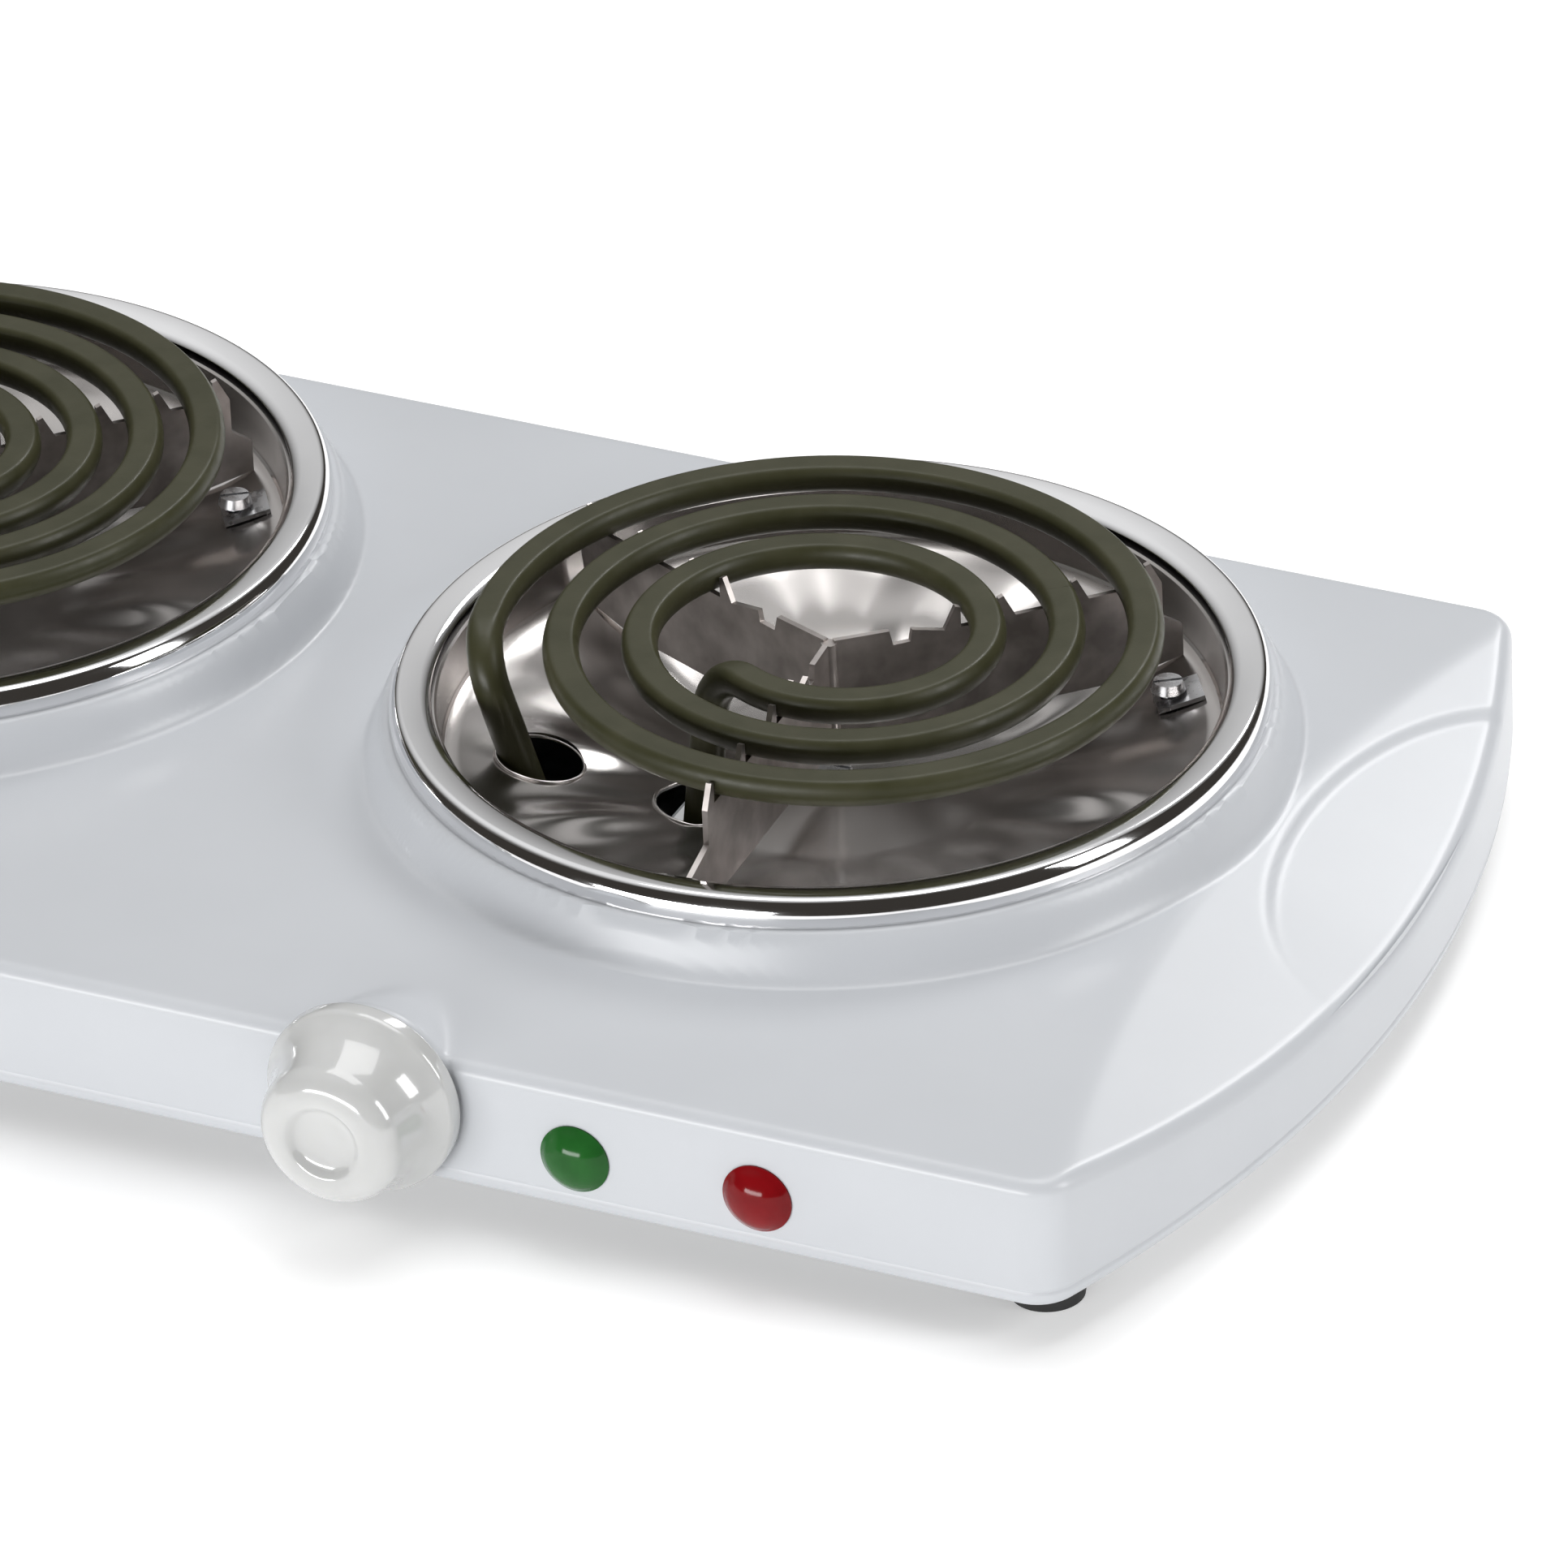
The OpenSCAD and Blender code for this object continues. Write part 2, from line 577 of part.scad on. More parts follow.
gland_x = 30;
gland_z = 22;
module cord_gland() color("dimgray") translate([gland_x, rear_y, gland_z]) rotate([90, 0, 0])
    rotate_extrude() polygon([[gland_bore, -gland_out], [gland_bore + 4.5, -gland_out],
        [gland_bore + 4.5, -0.05], [gland_bore + 1.95, -0.05], [gland_bore + 1.95, 1.1],
        [gland_bore + 3.2, 1.1], [gland_bore + 2.2, 6], [gland_bore, 6]]);

housing();
bottom_cover();
foot(0);  // foot_front_left
foot(1);  // foot_front_right
foot(2);  // foot_rear_left
foot(3);  // foot_rear_right
foot_screws();
cover_screws();
trim_ring(-1);  // trim_ring_left
trim_ring(1);  // trim_ring_right
drip_bowl(-1);  // drip_bowl_left
drip_bowl(1);  // drip_bowl_right
burner_strap(-1);  // burner_strap_left
burner_strap(1);  // burner_strap_right
bowl_centre_screws();
coil(-1, 7, step_left);  // coil_left
coil(1, 5, step_right);  // coil_right
coil_bushes(-1, 7, step_left);  // coil_bushes_left
coil_bushes(1, 5, step_right);  // coil_bushes_right
coil_pins(-1, 7, step_left);  // coil_pins_left
coil_pins(1, 5, step_right);  // coil_pins_right
support_strip(-1, 7, step_left);  // support_strip_left
support_strip(1, 5, step_right);  // support_strip_right
support_leg(-1, 7, step_left);  // support_leg_left
support_leg(1, 5, step_right);  // support_leg_right
bowl_clip(-1);  // bowl_clip_left
bowl_clip(1);  // bowl_clip_right
bowl_clip_screws();
thermostat(-1);  // thermostat_left
thermostat(1);  // thermostat_right
thermostat_bracket(-1);  // thermostat_bracket_left
thermostat_bracket(1);  // thermostat_bracket_right
thermostat_nuts();
thermostat_blades(-1);  // thermostat_blades_left
thermostat_blades(1);  // thermostat_blades_right
control_shaft(-1);  // control_shaft_left
control_shaft(1);  // control_shaft_right
switch_cam(-1);  // switch_cam_left
switch_cam(1);  // switch_cam_right
knob(-1);  // knob_left
knob(1);  // knob_right
knob_spring(-1);  // knob_spring_left
knob_spring(1);  // knob_spring_right
lamp_lens(green_x, "green");  // lamp_lens_green
lamp_lens(red_x, "firebrick");  // lamp_lens_red
lamp_body(green_x);  // lamp_body_green
lamp_body(red_x);  // lamp_body_red
terminal_block();
wire_supply(-1);  // wire_supply_left
wire_supply(1);  // wire_supply_right
wire_switched(-1, step_left);  // wire_switched_left
wire_switched(1, step_right);  // wire_switched_right
wire_return(-1, 7, step_left);  // wire_return_left
wire_return(1, 5, step_right);  // wire_return_right
earth_wire();
earth_screw();
cord_gland();
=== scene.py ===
import json
from math import atan2, ceil, cos, hypot, pi, radians, sin, sqrt, tan

import bmesh
import bpy
import numpy as np
from mathutils import Matrix, Vector

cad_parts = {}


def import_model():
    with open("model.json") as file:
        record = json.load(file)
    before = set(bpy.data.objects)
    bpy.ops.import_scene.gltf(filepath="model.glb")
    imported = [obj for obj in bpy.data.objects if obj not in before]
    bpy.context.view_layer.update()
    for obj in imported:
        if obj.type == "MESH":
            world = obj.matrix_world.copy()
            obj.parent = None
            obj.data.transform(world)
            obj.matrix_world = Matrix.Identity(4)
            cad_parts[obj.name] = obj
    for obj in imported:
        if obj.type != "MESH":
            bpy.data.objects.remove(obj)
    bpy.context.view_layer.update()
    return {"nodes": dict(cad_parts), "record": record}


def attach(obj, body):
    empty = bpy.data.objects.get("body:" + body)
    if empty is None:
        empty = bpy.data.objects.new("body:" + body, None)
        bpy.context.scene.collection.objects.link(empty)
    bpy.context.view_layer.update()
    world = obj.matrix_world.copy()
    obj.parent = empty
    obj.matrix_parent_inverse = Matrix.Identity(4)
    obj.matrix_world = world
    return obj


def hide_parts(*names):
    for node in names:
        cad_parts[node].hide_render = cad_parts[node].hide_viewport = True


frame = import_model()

# Lengths are in millimetres up to the helpers below, which turn them into metres.
MM = 0.001

# ------------------------------------------------------------------ the part's own sizes
BODY_L = 478
BODY_D = 238
MID_Y = 9.5
FRONT_Y = MID_Y - BODY_D / 2
DECK_Z = 37.5
SKIRT_Z = 9
END_BOW = 19.5
CORNER_R = 10
EDGE_R = 3
BURNERS = {"left": (-106.5, 30.5), "right": (106.5, 30.5)}
RING_Z = 47.5
RING_R = 90
KNOB_X = {"left": -69.5, "right": 69.5}
KNOB_Z = 27.5
KNOB_OUT = 22
KNOB_SKIRT_R = 20.5
KNOB_FACE_R = 15.2
LAMP_X = {"green": 114, "red": 153.5}
LAMP_Z = 21.5
LENS_R = 7.4


# ------------------------------------------------------------------ materials
def shader(name, color, roughness, metallic=0.0, coat=0.0):
    """A plain Principled material; returns it with its node tree and shader node."""
    made = bpy.data.materials.new(name)
    made.use_nodes = True
    tree = made.node_tree
    bsdf = tree.nodes["Principled BSDF"]
    bsdf.inputs["Base Color"].default_value = (*color, 1)
    bsdf.inputs["Roughness"].default_value = roughness
    bsdf.inputs["Metallic"].default_value = metallic
    bsdf.inputs["Coat Weight"].default_value = coat
    return made, tree, bsdf


def noise(tree, scale, detail=3.0):
    """Object-space noise, and the socket of its value."""
    where = tree.nodes.new("ShaderNodeTexCoord")
    made = tree.nodes.new("ShaderNodeTexNoise")
    made.inputs["Scale"].default_value = scale
    made.inputs["Detail"].default_value = detail
    tree.links.new(where.outputs["Object"], made.inputs["Vector"])
    return made.outputs["Fac"]


def vary(tree, value, socket, low, high, span=(0.35, 0.65)):
    """Drives a number or colour socket between low and high by a value."""
    ramp = tree.nodes.new("ShaderNodeValToRGB")
    for stop, place, tone in zip(ramp.color_ramp.elements, span, (low, high)):
        stop.position = place
        stop.color = (*tone, 1) if hasattr(tone, "__len__") else (tone, tone, tone, 1)
    tree.links.new(value, ramp.inputs["Fac"])
    tree.links.new(ramp.outputs["Color"], socket)


def tinted(color, share):
    """A colour with each part scaled by a share."""
    return [share * part for part in color]


def bumpy(tree, bsdf, value, strength, distance):
    """Raises a surface's normal by a value; the distance is in metres."""
    bump = tree.nodes.new("ShaderNodeBump")
    bump.inputs["Strength"].default_value = strength
    bump.inputs["Distance"].default_value = distance
    tree.links.new(value, bump.inputs["Height"])
    tree.links.new(bump.outputs["Normal"], bsdf.inputs["Normal"])


def enamel():
    made, tree, bsdf = shader("white_enamel", (0.545, 0.563, 0.591), 0.36, coat=0.12)
    bsdf.inputs["Coat Roughness"].default_value = 0.22
    vary(tree, noise(tree, 25), bsdf.inputs["Base Color"], (0.538, 0.556, 0.584), (0.552, 0.570, 0.598))
    bumpy(tree, bsdf, noise(tree, 900), 0.04, 0.0002)
    return made


def chrome():
    made, tree, bsdf = shader("ring_chrome", (0.86, 0.86, 0.87), 0.06, 1)
    vary(tree, noise(tree, 60), bsdf.inputs["Roughness"], 0.04, 0.10)
    vary(tree, noise(tree, 35), bsdf.inputs["Base Color"], (0.83, 0.83, 0.84), (0.88, 0.88, 0.89))
    return made


def bowl_steel():
    made, tree, bsdf = shader("bowl_chrome", (0.72, 0.70, 0.68), 0.22, 1)
    color = bsdf.inputs["Base Color"]
    vary(tree, noise(tree, 18, 1), color, (0.56, 0.535, 0.52), (0.64, 0.615, 0.60), (0.1, 0.9))
    bsdf.inputs["Anisotropic"].default_value = 0.8
    bsdf.inputs["Anisotropic Rotation"].default_value = 0.25
    around = tree.nodes.new("ShaderNodeTangent")
    around.direction_type = "RADIAL"
    around.axis = "Z"
    tree.links.new(around.outputs["Tangent"], bsdf.inputs["Tangent"])
    return made


def sheath():
    made, tree, bsdf = shader("element_sheath", (0.050, 0.050, 0.031), 0.42)
    bsdf.inputs["Specular IOR Level"].default_value = 0.3
    vary(tree, noise(tree, 90), bsdf.inputs["Base Color"], (0.036, 0.036, 0.015), (0.048, 0.047, 0.023))
    vary(tree, noise(tree, 300), bsdf.inputs["Roughness"], 0.36, 0.46)
    bumpy(tree, bsdf, noise(tree, 2500), 0.08, 0.0002)
    return made


def dark_sheet():
    made, tree, bsdf = shader("support_steel", (0.33, 0.30, 0.29), 0.34, 0.95)
    vary(tree, noise(tree, 120), bsdf.inputs["Base Color"], (0.36, 0.33, 0.315), (0.55, 0.51, 0.49))
    return made


def knob_plastic():
    made, tree, bsdf = shader("knob_plastic", (0.54, 0.545, 0.54), 0.16, coat=1.0)
    bsdf.inputs["Coat Roughness"].default_value = 0.06
    vary(tree, noise(tree, 120), bsdf.inputs["Base Color"], (0.53, 0.535, 0.53), (0.55, 0.555, 0.55))
    bsdf.inputs["Subsurface Weight"].default_value = 0.15
    bsdf.inputs["Subsurface Radius"].default_value = (0.004, 0.004, 0.003)
    return made


def lens(name, color):
    made, tree, bsdf = shader(name, color, 0.12)
    bsdf.inputs["Specular IOR Level"].default_value = 0.2
    vary(tree, noise(tree, 160), bsdf.inputs["Base Color"], tinted(color, 0.9), tinted(color, 1.1))
    return made


def worn(name, color, roughness, metallic=0.0, scale=200):
    """A small part's material, with slight unevenness of colour, gloss and surface."""
    made, tree, bsdf = shader(name, color, roughness, metallic)
    vary(tree, noise(tree, scale), bsdf.inputs["Base Color"], tinted(color, 0.88), tinted(color, 1.1))
    vary(tree, noise(tree, 2 * scale), bsdf.inputs["Roughness"], roughness - 0.05, roughness + 0.06)
    bumpy(tree, bsdf, noise(tree, 6 * scale), 0.05, 0.0001)
    return made


MATERIALS = {
    "housing": enamel(),
    "ring": chrome(),
    "bowl": bowl_steel(),
    "element": sheath(),
    "support": dark_sheet(),
    "knob": knob_plastic(),
    "lamp_lens_green": lens("green_lens", (0.016, 0.10, 0.018)),
    "lamp_lens_red": lens("red_lens", (0.19, 0.004, 0.006)),
    "zinc": worn("zinc_plate", (0.55, 0.55, 0.56), 0.28, 1),
    "pin": worn("bright_pin", (0.6, 0.6, 0.6), 0.25, 1),
    "contact": worn("contact_brass", (0.62, 0.42, 0.16), 0.3, 1),
    "earth_screw": worn("earth_brass", (0.65, 0.46, 0.18), 0.3, 1),
    "bottom_cover": worn("cover_zinc", (0.46, 0.47, 0.48), 0.4, 1),
    "foot": worn("foot_rubber", (0.02, 0.02, 0.02), 0.75),
    "bush": worn("bush_ceramic", (0.78, 0.72, 0.58), 0.35),
    "switch_body": worn("steatite", (0.75, 0.69, 0.56), 0.4),
    "cam": worn("cam_phenolic", (0.10, 0.05, 0.025), 0.45),
    "lamp_body": worn("lamp_moulding", (0.72, 0.72, 0.68), 0.45),
    "block": worn("block_moulding", (0.75, 0.70, 0.58), 0.45),
    "gland": worn("gland_moulding", (0.025, 0.025, 0.025), 0.5),
    "wire_brown": worn("brown_wire", (0.12, 0.05, 0.02), 0.5),
    "wire_black": worn("black_wire", (0.02, 0.02, 0.02), 0.5),
    "wire_red": worn("red_wire", (0.35, 0.03, 0.02), 0.5),
    "wire_white": worn("white_wire", (0.75, 0.75, 0.72), 0.5),
    "wire_green": worn("green_wire", (0.03, 0.20, 0.05), 0.5),
}
SLOT_OF = {row["node"]: row["material_slot"] for row in frame["record"]["subparts"]}


# ------------------------------------------------------------------ mesh helpers
def piece(name, verts, faces, slot, nodes=(), body="base"):
    """A smooth mesh of the object, in place of the CAD nodes it replaces."""
    mesh = bpy.data.meshes.new(name)
    mesh.from_pydata([tuple(float(c) * MM for c in v) for v in verts], [], faces)
    mesh.validate()
    whole = bmesh.new()
    whole.from_mesh(mesh)
    bmesh.ops.recalc_face_normals(whole, faces=whole.faces)
    whole.to_mesh(mesh)
    whole.free()
    mesh.polygons.foreach_set("use_smooth", [True] * len(mesh.polygons))
    mesh.materials.append(MATERIALS[slot])
    made = bpy.data.objects.new(name, mesh)
    bpy.context.scene.collection.objects.link(made)
    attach(made, body)
    if nodes:
        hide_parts(*nodes)
    return made


def crisp(obj, angle):
    """Keeps edges sharper than an angle, in degrees, unsmoothed."""
    obj.data.set_sharp_from_angle(angle=radians(angle))


def grid_faces(rows, cols, close_rows=False, close_cols=False, flip=False, start=0):
    """Quads over a grid of points numbered row by row."""
    made = []
    for i in range(rows if close_rows else rows - 1):
        for j in range(cols if close_cols else cols - 1):
            a, b = start + i * cols, start + (i + 1) % rows * cols
            quad = (a + j, a + (j + 1) % cols, b + (j + 1) % cols, b + j)
            made.append(quad[::-1] if flip else quad)
    return made


def arc(cx, cy, r, a0, a1, n):
    """Points on an arc, in degrees."""
    return [(cx + r * cos(radians(a0 + (a1 - a0) * i / n)), cy + r * sin(radians(a0 + (a1 - a0) * i / n)))
            for i in range(n + 1)]


def lathe(profile, turns):
    """Points and faces of a closed profile of (radius, height) turned about Z."""
    verts = [(r * cos(2 * pi * i / turns), r * sin(2 * pi * i / turns), z)
             for i in range(turns) for r, z in profile]
    return verts, grid_faces(turns, len(profile), True, True)


def moved(verts, place, turn=None):
    """Points turned by a matrix, then carried to a place."""
    if turn is not None:
        verts = [turn @ Vector(v) for v in verts]
    return [(v[0] + place[0], v[1] + place[1], v[2] + place[2]) for v in verts]


def sweep(path, sections):
    """A tube along a path that starts level; sections holds points (across, up) for each path point."""
    verts = []
    last = len(path) - 1
    high = Vector((0, 0, 1))
    frames = []
    for i in range(len(path)):
        along = (path[min(i + 1, last)] - path[max(i - 1, 0)]).normalized()
        high = (high - along * high.dot(along)).normalized()
        frames.append((along.cross(high), high))
    for p, section, (across, high) in zip(path, sections, frames):
        verts += [p + across * u + high * v for u, v in section]
    n = len(sections[0])
    faces = grid_faces(len(path), n, False, True)
    faces += [tuple(range(n))[::-1], tuple(range(last * n, last * n + n))]
    return verts, faces


def joined(*parts):
    """Several (points, faces) as one."""
    verts, faces = [], []
    for v, f in parts:
        start = len(verts)
        verts += list(v)
        faces += [tuple(start + i for i in face) for face in f]
    return verts, faces


# ------------------------------------------------------------------ housing
# each end bows outwards in an arc that the corner rounds run into
BOW_W = BODY_D / 2 - CORNER_R
BOW_R = (BOW_W**2 + END_BOW**2) / (2 * END_BOW)
BOW_X = BODY_L / 2 - BOW_R
CORNER_X = BOW_X + sqrt((BOW_R - CORNER_R) ** 2 - BOW_W**2)
CORNER_A = atan2(BOW_W, CORNER_X - BOW_X)
# each end is scooped down to the hand, from an arched crease
SCOOP_L = 39.5
SCOOP_DROP = 8.5
SCOOP_SLOPE = SCOOP_DROP / SCOOP_L
CREASE_R = 380
CREASE_X = BODY_L / 2 - SCOOP_L + CREASE_R
CREASE_BLEND = 0.5
# the hollow for the fingers, which fades out towards the front
GRIP_X, GRIP_Y = 240, 42
GRIP_W, GRIP_L = 35, 60
GRIP_DEPTH = 0.9
GRIP_EDGE = 2.4
GRIP_FADE_Y = -35
GRIP_FADE_L = 45
# the collar round each burner
COLLAR_R = RING_R + 5.4
COLLAR_SLOPE = 2.6
COLLAR_TOP_BLEND = 1.2
COLLAR_FOOT_BLEND = 2.2
OPENING_R = 84.5
OPENING_SNAP = 1.2
# the soft bump behind each knob, which narrows and falls towards the back
BUMP_R = 19
BUMP_L = 90
BUMP_LEAST = 0.2
BUMP_FALL = radians(14)
BUMP_BLEND = 2.5
# the top's grid: its step, and the points that follow its rounded edge
GRID_STEP = 1.1
GRID_ROUND = 8
WALL_FOOT_Z = SKIRT_Z + 4.5


def end_x(y):
    """Half the body's length at a distance y from the middle of its depth."""
    y = np.abs(y)
    bow = BOW_X + np.sqrt(BOW_R**2 - y**2)
    corner = CORNER_X + np.sqrt(np.maximum(CORNER_R**2 - (y - BOW_W) ** 2, 0))
    return np.where(y < BOW_R * sin(CORNER_A), bow, corner)


def inset(x, y):
    """Distance of a point inside the body's outline."""
    x, y = np.abs(x), np.abs(y)
    from_side = BODY_D / 2 - y
    from_end = BOW_R - np.hypot(x - BOW_X, y)
    dx, dy = x - CORNER_X, y - BOW_W
    in_corner = (dy > 0) & (np.arctan2(dy, np.maximum(dx, 1e-9)) > CORNER_A) & (dx > 0)
    return np.maximum(np.where(in_corner, CORNER_R - np.hypot(dx, dy), np.minimum(from_side, from_end)), 0)


def soft_max(a, b, k):
    """The larger of two heights, blended where they are less than k apart."""
    return np.maximum(a, b) + np.maximum(k - np.abs(a - b), 0) ** 2 / (4 * k)


def soft_min(a, b, k):
    """The smaller of two heights, blended in the same way."""
    return -soft_max(-a, -b, k)


def smooth_step(t):
    """Rises from 0 to 1 as t does, with level ends."""
    t = np.clip(t, 0, 1)
    return t * t * (3 - 2 * t)


def deck_height(x, y):
    """Height of the housing's top at x and at y from the middle of its depth."""
    slope = (CREASE_R - np.hypot(np.abs(x) - CREASE_X, y)) * SCOOP_SLOPE
    # the hollow's inner edge shows as a fine line
    edge = (1 - np.hypot((np.abs(x) - GRIP_X) / GRIP_W, (y + MID_Y - GRIP_Y) / GRIP_L)) * GRIP_W
    grip = GRIP_DEPTH * smooth_step(edge / GRIP_EDGE) * smooth_step((y - GRIP_FADE_Y) / GRIP_FADE_L)
    z = DECK_Z - soft_max(slope, 0 * slope, CREASE_BLEND) - grip
    for bx, by in BURNERS.values():
        r = np.hypot(x - bx, y + MID_Y - by)
        collar = soft_min(DECK_Z + (COLLAR_R - r) * COLLAR_SLOPE, RING_Z + 0 * r, COLLAR_TOP_BLEND)
        z = soft_max(z, collar, COLLAR_FOOT_BLEND)
    for kx in KNOB_X.values():
        back = y + BODY_D / 2
        half = BUMP_R * np.clip(1 - back / BUMP_L, BUMP_LEAST, 1)
        rise = np.sqrt(np.maximum(half**2 - (x - kx) ** 2, 0.01))
        z = soft_max(z, KNOB_Z + rise / cos(BUMP_FALL) - tan(BUMP_FALL) * back, BUMP_BLEND)
    return z


def spaced(half, step, fine):
    """Places from -half to half: a step apart in the middle, and following a quarter round at the ends."""
    rim = [half - EDGE_R * (1 - cos(radians(a))) for a in np.linspace(0, 90, fine)]
    inner = half - EDGE_R
    middle = np.linspace(-inner, inner, int(2 * inner / step) | 1)
    return np.array(sorted([-v for v in rim[:-1]]) + list(middle) + sorted(rim[:-1]))


def top_surface(u, v):
    """Points of the top over the plan: u runs end to end as a share of the length, v along the depth."""
    y = v[:, None] + 0 * u[None, :]
    x = u[None, :] * end_x(v)[:, None]
    d = np.minimum(inset(x, y), EDGE_R)
    z = deck_height(x, y) - (EDGE_R - np.sqrt(EDGE_R**2 - (EDGE_R - d) ** 2))
    return x, y + MID_Y, z


def cut_openings(verts, faces):
    """The faces left outside the burner openings, with the openings' edges drawn onto their circles."""
    keep = np.ones(len(verts), bool)
    for bx, by in BURNERS.values():
        keep &= np.hypot(verts[:, 0] - bx, verts[:, 1] - by) > OPENING_R
    faces = [f for f in faces if keep[list(f)].all()]
    for bx, by in BURNERS.values():
        r = np.hypot(verts[:, 0] - bx, verts[:, 1] - by)
        near = keep & (r < OPENING_R + OPENING_SNAP)
        for i in np.nonzero(near)[0]:
            dx, dy = verts[i, 0] - bx, verts[i, 1] - by
            verts[i, :2] = (bx + dx * OPENING_R / r[i], by + dy * OPENING_R / r[i])
    return faces


def hem_levels(edge):
    """Rings of points below the top's edge: the wall, then the hem, which turns in under a fine groove."""
    out = np.stack([np.roll(edge[:, 1], -1) - np.roll(edge[:, 1], 1),
                    np.roll(edge[:, 0], 1) - np.roll(edge[:, 0], -1)], -1)
    out /= np.maximum(np.linalg.norm(out, axis=1), 1e-9)[:, None]
    hem = [(0, 4.1), (-0.35, 3.8), (-0.35, 3.5), (-0.1, 3.2), (-0.25, 2.2), (-0.7, 1.0)]
    hem += [(-1.4, 0.2), (-1.7, 0), (-2.3, 0.2), (-1.2, 3), (-1, 4), (-1, 20)]
    levels = []
    for t in (0.25, 0.5, 0.75, 1):
        levels.append(np.column_stack([edge[:, :2], edge[:, 2] * (1 - t) + WALL_FOOT_Z * t]))
    for shift, height in hem:
        levels.append(np.column_stack([edge[:, :2] + out * shift, np.full(len(edge), SKIRT_Z + height)]))
    return levels


def housing():
    """The pressed shell: its top as a fine grid, with walls hung from the grid's rim."""
    v = spaced(BODY_D / 2, GRID_STEP, GRID_ROUND)
    u = spaced(BODY_L / 2, GRID_STEP, GRID_ROUND) / (BODY_L / 2)
    x, y, z = top_surface(u, v)
    rows, cols = x.shape
    verts = np.stack([x, y, z], -1).reshape(-1, 3)
    faces = cut_openings(verts, grid_faces(rows, cols))
    rim = list(range(cols))
    rim += [i * cols + cols - 1 for i in range(1, rows)]
    rim += [(rows - 1) * cols + j for j in range(cols - 2, -1, -1)]
    rim += [i * cols for i in range(rows - 2, 0, -1)]
    levels = hem_levels(verts[rim])
    n = len(rim)
    top = len(verts)
    walls = grid_faces(len(levels), n, False, True, start=top)
    first = [(rim[k], top + k, top + (k + 1) % n, rim[(k + 1) % n]) for k in range(n)]
    faces += first + [f[::-1] for f in walls]
    made = piece("housing_shell", np.concatenate([verts] + levels), faces, "housing", ["housing"])
    crisp(made, 50)


housing()


# ------------------------------------------------------------------ rings and bowls
def trim_ring(side):
    """A rolled ring: its outside, crest and inner edge, and the thin sheet's underside."""
    place = (*BURNERS[side], RING_Z)
    # an upright foot, a long leaning flank and a tighter crest
    outer = [(RING_R, 0.05), (RING_R, 1.2)]
    flank = arc(RING_R - 6.0, 1.45, 5.98, 3, 40, 14)
    crest = arc(flank[-1][0] - 1.18, flank[-1][1] - 0.99, 1.54, 44, 96, 12)
    inner = [(RING_R - 6.5, 5.6), (RING_R - 8.2, 5.0), (RING_R - 8.75, 4.3)]
    under = [(RING_R - 8.2, 4.2), (RING_R - 6.4, 4.8), (RING_R - 4.2, 5.3), (RING_R - 2.2, 4.4),
             (RING_R - 1.3, 2.8), (RING_R - 0.7, 0.05)]
    verts, faces = lathe(outer + flank + crest + inner + under, 256)
    made = piece(f"ring_{side}", moved(verts, place), faces, "ring", [f"trim_ring_{side}"])
    crisp(made, 45)


BOWL_R = 79.6
LEDGE_Z = -8
LEDGE_R = BOWL_R - 2.5
FLOOR_R = 34
FLOOR_Z = -18
HOLE_R = 9
LIP_R = 0.42
SKIN = 0.5
# heights of the skin's waves round and along the slope, and the length of the latter
RIPPLE = 0.3
DIMPLE = 0.35
DIMPLE_L = 40
HOLES = [(-54, -25.5), (-21, -20.5)]


def bowl_height(r):
    """Height of the bowl's skin at a distance from its middle: level, then rising to the ledge."""
    return FLOOR_Z if r < FLOOR_R else FLOOR_Z + (r - FLOOR_R) * (LEDGE_Z - FLOOR_Z) / (LEDGE_R - FLOOR_R)


def ripple(x, y):
    """The pressed sheet's slight waviness round the slope, which draws its reflections out into rays."""
    r, a = hypot(x, y), atan2(y, x)
    reach = max(min((r - FLOOR_R) / 12, (LEDGE_R - r) / 8, 1), 0)
    # lobes of three counts, so that no pattern repeats round the bowl
    lobes = sin(13 * a) + 0.8 * sin(22 * a + 1.3) + 0.6 * sin(8 * a + 0.4)
    dimples = cos(2 * pi * (r - FLOOR_R) / DIMPLE_L) * (1 + sin(11 * a + 0.9))
    return reach * (RIPPLE * lobes - DIMPLE * dimples)


